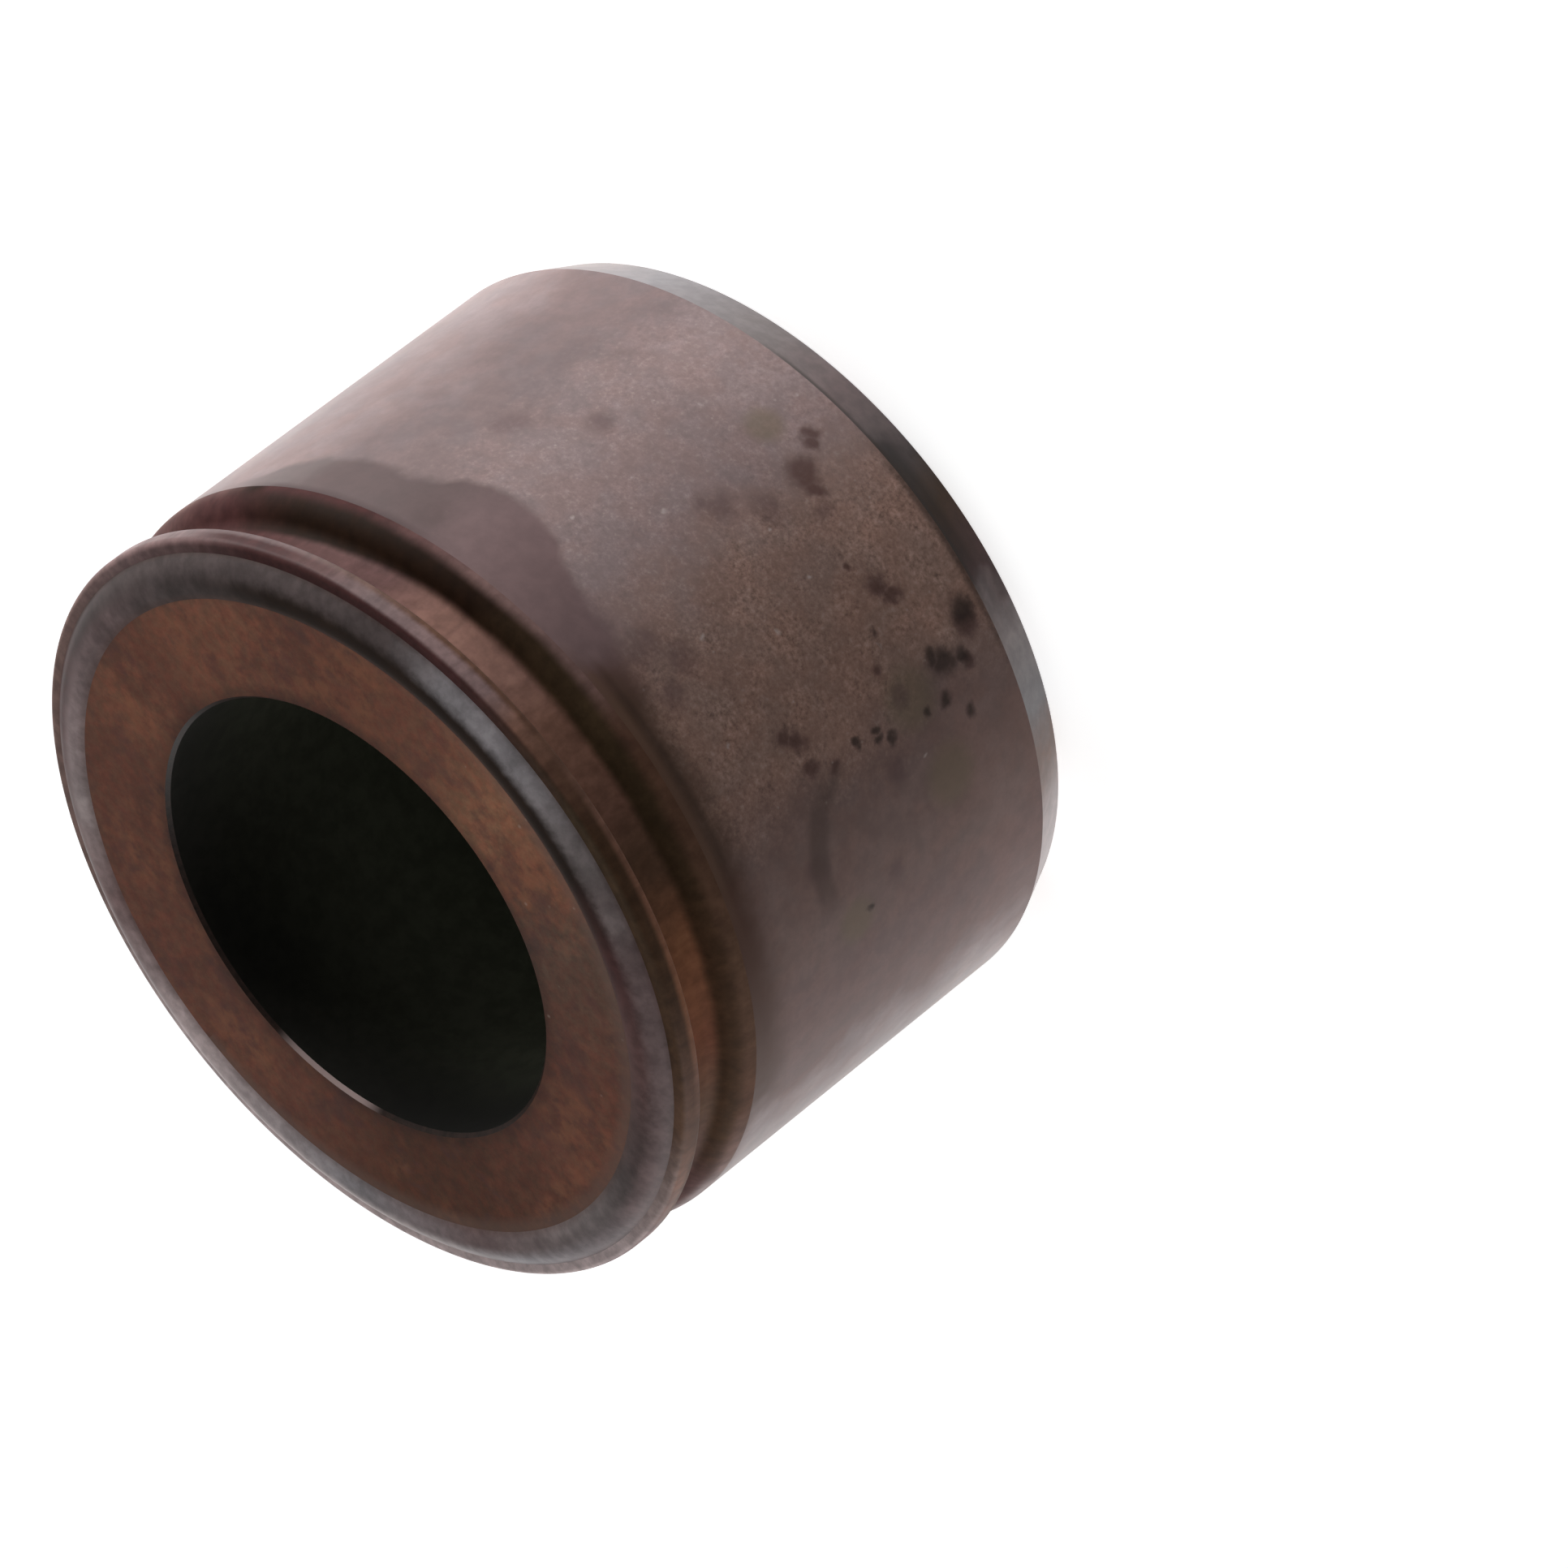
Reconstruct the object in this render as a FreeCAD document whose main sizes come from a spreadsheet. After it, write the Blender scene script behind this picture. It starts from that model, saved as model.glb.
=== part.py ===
import FreeCAD, Part
import math
import os

import Sketcher

# Brake caliper piston: one turned steel cup with a thick wall.
# The axis is Z. The closed end stands on z = 0, and the open end, which presses on the pad, points up.
# All sizes are in millimetres. "Annulus" is the flat ring of the open end, round the bore's mouth.

SIZES = {
    "body_diameter": (54.0, "ground body that slides in the caliper's seal"),
    "annulus_height": (38.1, "closed end to the annulus"),
    "bore_diameter": (31.9, "straight wall of the blind bore"),
    "bore_depth": (31.0, "annulus down to the bore's floor"),
    "bore_floor_radius": (3.0, "inside corner round the bore's floor"),
    "mouth_chamfer": (0.25, "broken edge of the bore's mouth"),
    "taper_length": (3.3, "lead-in taper at the closed end, along the axis"),
    "taper_inset": (1.4, "how far the taper draws in, on the radius"),
    "end_chamfer": (0.3, "broken edge between the taper and the closed end"),
    "lip_front": (0.72, "annulus down to the front edge of the lip"),
    "lip_back": (2.3, "annulus down to the front wall of the boot groove"),
    "lip_chamfer": (0.25, "broken outer edges of the lip, front and back"),
    "land_width": (0.9, "narrow flat land between the lip's outer face and the bead, on the radius"),
    "bead_width": (2.9, "rounded contact bead, on the radius"),
    "bead_radius": (2.6, "section of the contact bead"),
    "groove_depth": (1.8, "floor of the boot groove below the ground body, on the radius"),
    "groove_end": (7.4, "annulus down to where the shoulder meets the ground body"),
    "hollow_radius": (1.2, "concave run-out of the groove's floor"),
    "shoulder_radius": (2.0, "convex shoulder that runs into the ground body"),
}

# Radii and heights of the outline's corners, as expressions of the sizes above.
BODY_RADIUS = "sizes.body_diameter / 2"
BEAD_FOOT_RADIUS = f"{BODY_RADIUS} - sizes.land_width"
ANNULUS_RADIUS = f"{BEAD_FOOT_RADIUS} - sizes.bead_width"
FLOOR_RADIUS = f"{BODY_RADIUS} - sizes.groove_depth"
END_RADIUS = f"{BODY_RADIUS} - sizes.taper_inset"
BORE_RADIUS = "sizes.bore_diameter / 2"
ANNULUS_HEIGHT = "sizes.annulus_height"
LIP_FRONT_HEIGHT = f"{ANNULUS_HEIGHT} - sizes.lip_front"
LIP_BACK_HEIGHT = f"{ANNULUS_HEIGHT} - sizes.lip_back"
GROOVE_END_HEIGHT = f"{ANNULUS_HEIGHT} - sizes.groove_end"
BORE_FLOOR_HEIGHT = f"{ANNULUS_HEIGHT} - sizes.bore_depth"

# The groove's section starts this far outside the metal, so that its cut leaves no skin behind.
CUT_MARGIN = 1.0

FILLET = "PartDesign::Fillet"
CHAMFER = "PartDesign::Chamfer"
FULL_TURN = 360
NEAR = 1e-4
ORIGIN = -1
ORIGIN_POINT = 1
START_POINT = 1
END_POINT = 2
CENTRE = 3


def make_sheet(doc):
    """Spreadsheet of the driving dimensions, one row each: name, value, meaning."""
    sheet = doc.addObject("Spreadsheet::Sheet", "sizes")
    for row, (name, (value, meaning)) in enumerate(SIZES.items(), start=1):
        sheet.set(f"A{row}", name)
        sheet.set(f"B{row}", str(value))
        sheet.set(f"C{row}", meaning)
        sheet.setAlias(f"B{row}", name)
    doc.recompute()
    return sheet


def value(sheet, expression):
    """Number that an expression of the sizes has now."""
    return float(sheet.evalExpression(expression))


def origin_plane(body, role):
    """One of the body's own origin planes."""
    return next(item for item in body.Origin.OriginFeatures if item.Role == role)


def new_sketch(body, name, role):
    """Empty sketch on one of the body's origin planes."""
    sketch = body.newObject("Sketcher::SketchObject", name)
    sketch.AttachmentSupport = [(origin_plane(body, role), "")]
    sketch.MapMode = "FlatFace"
    return sketch


def bind(sketch, constraint, name, expression):
    """Add a named dimension and tie it to an expression of the sizes."""
    number = sketch.addConstraint(constraint)
    sketch.renameConstraint(number, name)
    sketch.setExpression(f"Constraints.{name}", expression)


def place(sketch, sheet, edge, vertex, name, radius=None, height=None):
    """Tie one end of an edge to its radius and its height above the closed end."""
    if radius:
        across = Sketcher.Constraint("DistanceX", ORIGIN, ORIGIN_POINT, edge, vertex, value(sheet, radius))
        bind(sketch, across, f"{name}_radius", radius)
    if height:
        up = Sketcher.Constraint("DistanceY", ORIGIN, ORIGIN_POINT, edge, vertex, value(sheet, height))
        bind(sketch, up, f"{name}_height", height)


def add_line(sketch, start, end):
    """Straight edge; returns its number and its start and end vertices."""
    return sketch.addGeometry(Part.LineSegment(start, end), False), START_POINT, END_POINT


def add_arc(sketch, start, end, centre):
    """Arc of less than half a turn; its vertices are swapped where it runs clockwise."""
    out = start - centre
    back = end - centre
    first_angle = math.atan2(out.y, out.x)
    last_angle = math.atan2(back.y, back.x)
    circle = Part.Circle(centre, FreeCAD.Vector(0, 0, 1), out.Length)
    if out.cross(back).z > 0:
        arc = Part.ArcOfCircle(circle, first_angle, last_angle)
        return sketch.addGeometry(arc, False), START_POINT, END_POINT
    arc = Part.ArcOfCircle(circle, last_angle, first_angle)
    return sketch.addGeometry(arc, False), END_POINT, START_POINT


def close_outline(sketch, edges):
    """Join every edge's end to the next edge's start, all the way round."""
    for (edge, _, end), (following, start, _) in zip(edges, edges[1:] + edges[:1]):
        sketch.addConstraint(Sketcher.Constraint("Coincident", edge, end, following, start))


def bead_centre(start, end, radius):
    """Centre of the bead's arc, on the metal's side of the chord from start to end."""
    chord = end - start
    inward = FreeCAD.Vector(-chord.y, chord.x, 0).normalize()
    return (start + end) / 2 + inward * math.sqrt(radius ** 2 - chord.Length ** 2 / 4)


def blank_sketch(body, sheet):
    """Half section of the turned blank, without its boot groove and bore."""
    sketch = new_sketch(body, "blank_section", "XZ_Plane")
    corners = [
        ("axis_end", "0", "0"),
        ("closed_end", END_RADIUS, "0"),
        ("taper_top", BODY_RADIUS, "sizes.taper_length"),
        ("lip_front", BODY_RADIUS, LIP_FRONT_HEIGHT),
        ("bead_foot", BEAD_FOOT_RADIUS, LIP_FRONT_HEIGHT),
        ("annulus", ANNULUS_RADIUS, ANNULUS_HEIGHT),
        ("axis_top", "0", ANNULUS_HEIGHT),
    ]
    points = []
    for _, radius, height in corners:
        points.append(FreeCAD.Vector(value(sheet, radius), value(sheet, height), 0))
    names = [name for name, _, _ in corners]
    bead_radius = value(sheet, "sizes.bead_radius")
    edges = []
    for number, start in enumerate(points):
        end = points[(number + 1) % len(points)]
        if names[number] == "bead_foot":
            edges.append(add_arc(sketch, start, end, bead_centre(start, end, bead_radius)))
        else:
            edges.append(add_line(sketch, start, end))
    close_outline(sketch, edges)
    for (name, radius, height), (edge, start, _) in zip(corners, edges):
        place(sketch, sheet, edge, start, name, radius, height)
    bead = edges[names.index("bead_foot")][0]
    bead_section = Sketcher.Constraint("Radius", bead, bead_radius)
    bind(sketch, bead_section, "bead_section", "sizes.bead_radius")
    return sketch


def groove_sketch(body, sheet):
    """Section of the boot groove: front wall, floor, concave run-out and convex shoulder."""
    sketch = new_sketch(body, "boot_groove_section", "XZ_Plane")
    body_radius = value(sheet, BODY_RADIUS)
    floor_radius = value(sheet, FLOOR_RADIUS)
    wall_height = value(sheet, LIP_BACK_HEIGHT)
    end_height = value(sheet, GROOVE_END_HEIGHT)
    hollow = value(sheet, "sizes.hollow_radius")
    shoulder = value(sheet, "sizes.shoulder_radius")
    outside = body_radius + CUT_MARGIN

    # The two arcs meet at one slope, which follows from their radii and the groove's depth.
    slope = math.acos(1 - (body_radius - floor_radius) / (hollow + shoulder))
    shoulder_centre = FreeCAD.Vector(body_radius - shoulder, end_height, 0)
    towards_hollow = FreeCAD.Vector(math.cos(slope), math.sin(slope), 0)
    hollow_centre = shoulder_centre + towards_hollow * (hollow + shoulder)
    points = [
        FreeCAD.Vector(outside, wall_height, 0),
        FreeCAD.Vector(floor_radius, wall_height, 0),
        FreeCAD.Vector(floor_radius, hollow_centre.y, 0),
        shoulder_centre + towards_hollow * shoulder,
        FreeCAD.Vector(body_radius, end_height, 0),
        FreeCAD.Vector(outside, end_height, 0),
    ]
    wall = add_line(sketch, points[0], points[1])
    floor = add_line(sketch, points[1], points[2])
    hollow_arc = add_arc(sketch, points[2], points[3], hollow_centre)
    shoulder_arc = add_arc(sketch, points[3], points[4], shoulder_centre)
    rear = add_line(sketch, points[4], points[5])
    outer = add_line(sketch, points[5], points[0])
    edges = [wall, floor, hollow_arc, shoulder_arc, rear, outer]

    sketch.addConstraint(Sketcher.Constraint("Horizontal", wall[0]))
    sketch.addConstraint(Sketcher.Constraint("Vertical", floor[0]))
    sketch.addConstraint(Sketcher.Constraint("Horizontal", rear[0]))
    sketch.addConstraint(Sketcher.Constraint("Vertical", outer[0]))
    for before, after in ((wall, floor), (rear, outer), (outer, wall), (shoulder_arc, rear)):
        sketch.addConstraint(Sketcher.Constraint("Coincident", before[0], before[2], after[0], after[1]))
    for before, after in ((floor, hollow_arc), (hollow_arc, shoulder_arc)):
        sketch.addConstraint(Sketcher.Constraint("Tangent", before[0], before[2], after[0], after[1]))
    level = Sketcher.Constraint("Horizontal", shoulder_arc[0], CENTRE, shoulder_arc[0], shoulder_arc[2])
    sketch.addConstraint(level)

    place(sketch, sheet, wall[0], wall[1], "outside", f"{BODY_RADIUS} + {CUT_MARGIN}", LIP_BACK_HEIGHT)
    place(sketch, sheet, floor[0], floor[1], "floor", FLOOR_RADIUS)
    place(sketch, sheet, rear[0], rear[1], "shoulder_end", BODY_RADIUS, GROOVE_END_HEIGHT)
    hollow_section = Sketcher.Constraint("Radius", hollow_arc[0], hollow)
    bind(sketch, hollow_section, "hollow_section", "sizes.hollow_radius")
    shoulder_section = Sketcher.Constraint("Radius", shoulder_arc[0], shoulder)
    bind(sketch, shoulder_section, "shoulder_section", "sizes.shoulder_radius")
    return sketch


def bore_sketch(body, sheet):
    """Circle of the bore, at the height of the annulus."""
    sketch = new_sketch(body, "bore_circle", "XY_Plane")
    sketch.setExpression(".AttachmentOffset.Base.z", ANNULUS_HEIGHT)
    diameter = value(sheet, "sizes.bore_diameter")
    circle = Part.Circle(FreeCAD.Vector(0, 0, 0), FreeCAD.Vector(0, 0, 1), diameter / 2)
    edge = sketch.addGeometry(circle, False)
    sketch.addConstraint(Sketcher.Constraint("Coincident", edge, CENTRE, ORIGIN, ORIGIN_POINT))
    bind(sketch, Sketcher.Constraint("Diameter", edge, diameter), "bore_diameter", "sizes.bore_diameter")
    return sketch


def turn(body, kind, name, sketch):
    """Revolution or Groove of a section, once round the axis."""
    feature = body.newObject(kind, name)
    feature.Profile = sketch
    feature.ReferenceAxis = (sketch, ["V_Axis"])
    feature.Angle = FULL_TURN
    return feature


def round_edge(feature, radius, height):
    """Name of the circular edge of a feature's shape that has this radius and height."""
    for number, edge in enumerate(feature.Shape.Edges, start=1):
        if isinstance(edge.Curve, Part.Circle):
            centre = edge.Curve.Center
            if abs(edge.Curve.Radius - radius) < NEAR and abs(centre.z - height) < NEAR:
                return f"Edge{number}"
    raise ValueError(f"{feature.Name} has no round edge of radius {radius} at height {height}")


def dress(body, kind, name, sheet, size, circles):
    """Fillet or chamfer of one size on round edges of the body's tip.

    circles holds the radius and height of each edge, as expressions.
    """
    body.Document.recompute()
    base = body.Tip
    places = [(value(sheet, radius), value(sheet, height)) for radius, height in circles]
    feature = body.newObject(kind, name)
    feature.Base = (base, [round_edge(base, radius, height) for radius, height in places])
    feature.setExpression("Radius" if kind == FILLET else "Size", size)
    return feature


def make_piston(doc, sheet):
    """Turned blank, boot groove, blind bore, then the blended and broken edges."""
    body = doc.addObject("PartDesign::Body", "piston")
    body.Label = "piston"
    turn(body, "PartDesign::Revolution", "blank", blank_sketch(body, sheet))
    doc.recompute()
    blank_volume = body.Shape.Volume

    turn(body, "PartDesign::Groove", "boot_groove", groove_sketch(body, sheet))
    doc.recompute()
    grooved_volume = body.Shape.Volume
    require(grooved_volume < blank_volume, "the boot groove cuts nothing")

    bore = body.newObject("PartDesign::Pocket", "bore")
    bore.Profile = bore_sketch(body, sheet)
    bore.setExpression("Length", "sizes.bore_depth")
    doc.recompute()
    require(body.Shape.Volume < grooved_volume, "the bore cuts nothing")

    dress(body, FILLET, "bore_floor_corner", sheet, "sizes.bore_floor_radius",
          [(BORE_RADIUS, BORE_FLOOR_HEIGHT)])
    dress(body, CHAMFER, "bore_mouth", sheet, "sizes.mouth_chamfer", [(BORE_RADIUS, ANNULUS_HEIGHT)])
    dress(body, CHAMFER, "lip_edges", sheet, "sizes.lip_chamfer",
          [(BODY_RADIUS, LIP_FRONT_HEIGHT), (BODY_RADIUS, LIP_BACK_HEIGHT)])
    dress(body, CHAMFER, "end_edge", sheet, "sizes.end_chamfer", [(END_RADIUS, "0")])
    doc.recompute()
    body.Placement = FreeCAD.Placement()
    return body


def require(condition, fault):
    """Stop with a plain message where the model isn't what it should be."""
    if not condition:
        raise RuntimeError(fault)


def check(doc, parts):
    """No object may have failed, and every part is one valid solid."""
    for item in doc.Objects:
        require(not {"Invalid", "Error"} & set(item.State), f"{item.Name} failed: {item.State}")
    for part in parts:
        require(not part.Shape.isNull() and part.Shape.isValid(), f"{part.Label} isn't valid")
        require(len(part.Shape.Solids) == 1, f"{part.Label} isn't one solid")


def main():
    """Build the document, test it, and write one file for each part."""
    doc = FreeCAD.newDocument("brake_caliper_piston")
    sheet = make_sheet(doc)
    parts = [make_piston(doc, sheet)]
    doc.recompute()
    check(doc, parts)
    os.makedirs("parts", exist_ok=True)
    for part in parts:
        part.Shape.exportStep(os.path.join("parts", f"{part.Label}.step"))
        box = part.Shape.optimalBoundingBox(False, False)
        print(f"{part.Label}: volume {part.Shape.Volume:.1f} mm3, diameter {box.XLength:.3f}, "
              f"height {box.ZLength:.3f}, base z {box.ZMin:.3f}")


main()
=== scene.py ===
import math

import bpy
from mathutils import Matrix, Vector


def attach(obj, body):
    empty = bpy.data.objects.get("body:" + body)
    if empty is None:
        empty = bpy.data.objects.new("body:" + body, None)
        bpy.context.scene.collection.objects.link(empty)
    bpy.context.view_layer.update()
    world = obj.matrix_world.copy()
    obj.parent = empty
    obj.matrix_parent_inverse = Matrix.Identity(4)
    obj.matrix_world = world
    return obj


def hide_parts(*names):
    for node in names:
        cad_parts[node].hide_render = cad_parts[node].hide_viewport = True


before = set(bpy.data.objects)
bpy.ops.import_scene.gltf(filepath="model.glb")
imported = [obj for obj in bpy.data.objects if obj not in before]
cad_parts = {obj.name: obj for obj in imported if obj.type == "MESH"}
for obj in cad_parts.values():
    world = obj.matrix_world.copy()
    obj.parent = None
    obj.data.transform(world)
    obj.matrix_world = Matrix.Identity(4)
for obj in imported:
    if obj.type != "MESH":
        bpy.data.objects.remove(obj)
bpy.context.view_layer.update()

# Sizes of the turned outline in millimetres, the same as the solid has
MM = 0.001
BODY_R = 26.99
END_R = 25.3
END_CHAMFER_R = 25.717
END_CHAMFER_Z = 0.276
TAPER_Z = 3.3
SHOULDER_Z = 30.7
SHOULDER_RADIUS = 2.0
HOLLOW_RADIUS = 1.2
FLOOR_R = 25.2
HOLLOW_CENTRE_Z = 33.573
LIP_BACK_Z = 35.8
LIP_FRONT_Z = 37.38
LIP_FRONT_ROUND = 0.4
LIP_BACK_ROUND = 0.3
BEAD_FOOT_R = 26.1
BEAD_RADIUS = 2.6
BEAD_CENTRE_R = 24.137
BEAD_CENTRE_Z = 35.672
ANNULUS_R = 23.2
ANNULUS_Z = 38.1
BORE_R = 15.95
MOUTH_CHAMFER = 0.25
BORE_FLOOR_Z = 7.1
BORE_CORNER = 3.0

# How finely the outline is divided: the sides of a ring, and the rings on each stretch
SEGMENTS = 384
END_RINGS = 6
TAPER_RINGS = 4
BODY_RINGS = 14
SHOULDER_STEPS = 14
HOLLOW_STEPS = 12
FLOOR_RINGS = 6
LIP_BACK_STEPS = 6
LIP_FRONT_STEPS = 8
BEAD_STEPS = 20
ANNULUS_RINGS = 6
BORE_RINGS = 10
CORNER_STEPS = 8
BORE_FLOOR_RINGS = 5
# A ring smaller than this is a single point on the axis
POLE_RADIUS = 1e-6
# Edges that turn by more than this many degrees are sharp
SHARP_ANGLE = 15.0


def arc(centre, radius, start, stop, count):
    """Points on an arc of the outline, from one angle to another in degrees, both ends included."""
    points = []
    for i in range(count + 1):
        angle = math.radians(start + (stop - start) * i / count)
        points.append((centre[0] + radius * math.cos(angle), centre[1] + radius * math.sin(angle)))
    return points


def run(start, stop, count):
    """Points on a straight run of the outline, both ends included."""
    points = [start]
    for i in range(1, count + 1):
        t = i / count
        points.append((start[0] + (stop[0] - start[0]) * t, start[1] + (stop[1] - start[1]) * t))
    return points


def outline():
    """The half outline from the middle of the closed end, round the outside, to the middle of the bore.
    Each stretch is a list of points and the finish that it has."""
    bead_start = math.degrees(math.atan2(LIP_FRONT_Z - BEAD_CENTRE_Z, BEAD_FOOT_R - BEAD_CENTRE_R))
    bead_stop = math.degrees(math.atan2(ANNULUS_Z - BEAD_CENTRE_Z, ANNULUS_R - BEAD_CENTRE_R))
    shoulder_centre = (BODY_R - SHOULDER_RADIUS, SHOULDER_Z)
    hollow_centre = (FLOOR_R + HOLLOW_RADIUS, HOLLOW_CENTRE_Z)
    turn_angle = math.degrees(
        math.atan2(HOLLOW_CENTRE_Z - SHOULDER_Z, hollow_centre[0] - shoulder_centre[0])
    )
    lip_low = (BODY_R, LIP_BACK_Z + LIP_BACK_ROUND)
    lip_high = (BODY_R, LIP_FRONT_Z - LIP_FRONT_ROUND)
    low_centre = (BODY_R - LIP_BACK_ROUND, LIP_BACK_Z + LIP_BACK_ROUND)
    high_centre = (BODY_R - LIP_FRONT_ROUND, LIP_FRONT_Z - LIP_FRONT_ROUND)
    mouth = (BORE_R, ANNULUS_Z - MOUTH_CHAMFER)
    corner_centre = (BORE_R - BORE_CORNER, BORE_FLOOR_Z + BORE_CORNER)
    return [
        (run((0.0, 0.0), (END_R, 0.0), END_RINGS), "taper"),
        ([(END_R, 0.0), (END_CHAMFER_R, END_CHAMFER_Z)], "taper"),
        (run((END_CHAMFER_R, END_CHAMFER_Z), (BODY_R, TAPER_Z), TAPER_RINGS), "taper"),
        (run((BODY_R, TAPER_Z), (BODY_R, SHOULDER_Z), BODY_RINGS), "body"),
        (arc(shoulder_centre, SHOULDER_RADIUS, 0.0, turn_angle, SHOULDER_STEPS), "groove"),
        (arc(hollow_centre, HOLLOW_RADIUS, turn_angle + 180.0, 180.0, HOLLOW_STEPS), "groove"),
        (run((FLOOR_R, HOLLOW_CENTRE_Z), (FLOOR_R, LIP_BACK_Z), FLOOR_RINGS), "groove"),
        ([(FLOOR_R, LIP_BACK_Z), (low_centre[0], LIP_BACK_Z)], "groove"),
        (arc(low_centre, LIP_BACK_ROUND, -90.0, 0.0, LIP_BACK_STEPS), "lip"),
        ([lip_low, lip_high], "lip"),
        (arc(high_centre, LIP_FRONT_ROUND, 0.0, 90.0, LIP_FRONT_STEPS), "lip"),
        ([(high_centre[0], LIP_FRONT_Z), (BEAD_FOOT_R, LIP_FRONT_Z)], "lip"),
        (arc((BEAD_CENTRE_R, BEAD_CENTRE_Z), BEAD_RADIUS, bead_start, bead_stop, BEAD_STEPS), "bead"),
        (run((ANNULUS_R, ANNULUS_Z), (BORE_R + MOUTH_CHAMFER, ANNULUS_Z), ANNULUS_RINGS), "face"),
        ([(BORE_R + MOUTH_CHAMFER, ANNULUS_Z), mouth], "mouth"),
        (run(mouth, (BORE_R, BORE_FLOOR_Z + BORE_CORNER), BORE_RINGS), "bore"),
        (arc(corner_centre, BORE_CORNER, 0.0, -90.0, CORNER_STEPS), "bore"),
        (run((corner_centre[0], BORE_FLOOR_Z), (0.0, BORE_FLOOR_Z), BORE_FLOOR_RINGS), "bore"),
    ]


def turned_mesh(name, stretches, finishes):
    """Turns the stretches about Z into one closed mesh, with a material number for each finish."""
    rings = []
    finish_of_run = []
    for points, finish in stretches:
        for i, point in enumerate(points):
            if i == 0 and rings:
                continue
            rings.append(point)
            if len(rings) > 1:
                finish_of_run.append(finishes.index(finish))
    vertices = []
    starts = []
    for radius, height in rings:
        starts.append(len(vertices))
        if radius < POLE_RADIUS:
            vertices.append((0.0, 0.0, height * MM))
            continue
        for i in range(SEGMENTS):
            angle = 2.0 * math.pi * i / SEGMENTS
            vertices.append((radius * MM * math.cos(angle), radius * MM * math.sin(angle), height * MM))
    faces = []
    numbers = []
    for k in range(len(rings) - 1):
        low_pole = rings[k][0] < POLE_RADIUS
        high_pole = rings[k + 1][0] < POLE_RADIUS
        for i in range(SEGMENTS):
            j = (i + 1) % SEGMENTS
            if low_pole:
                face = (starts[k], starts[k + 1] + j, starts[k + 1] + i)
            elif high_pole:
                face = (starts[k] + i, starts[k] + j, starts[k + 1])
            else:
                face = (starts[k] + i, starts[k] + j, starts[k + 1] + j, starts[k + 1] + i)
            faces.append(face)
            numbers.append(finish_of_run[k])
    mesh = bpy.data.meshes.new(name)
    mesh.from_pydata(vertices, [], faces)
    mesh.update()
    mesh.polygons.foreach_set("material_index", numbers)
    mesh.shade_smooth()
    mesh.set_sharp_from_angle(angle=math.radians(SHARP_ANGLE))
    return mesh


# The colour sockets of a mix node
MIX_FIRST = 6
MIX_SECOND = 7
MIX_RESULT = 2


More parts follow.
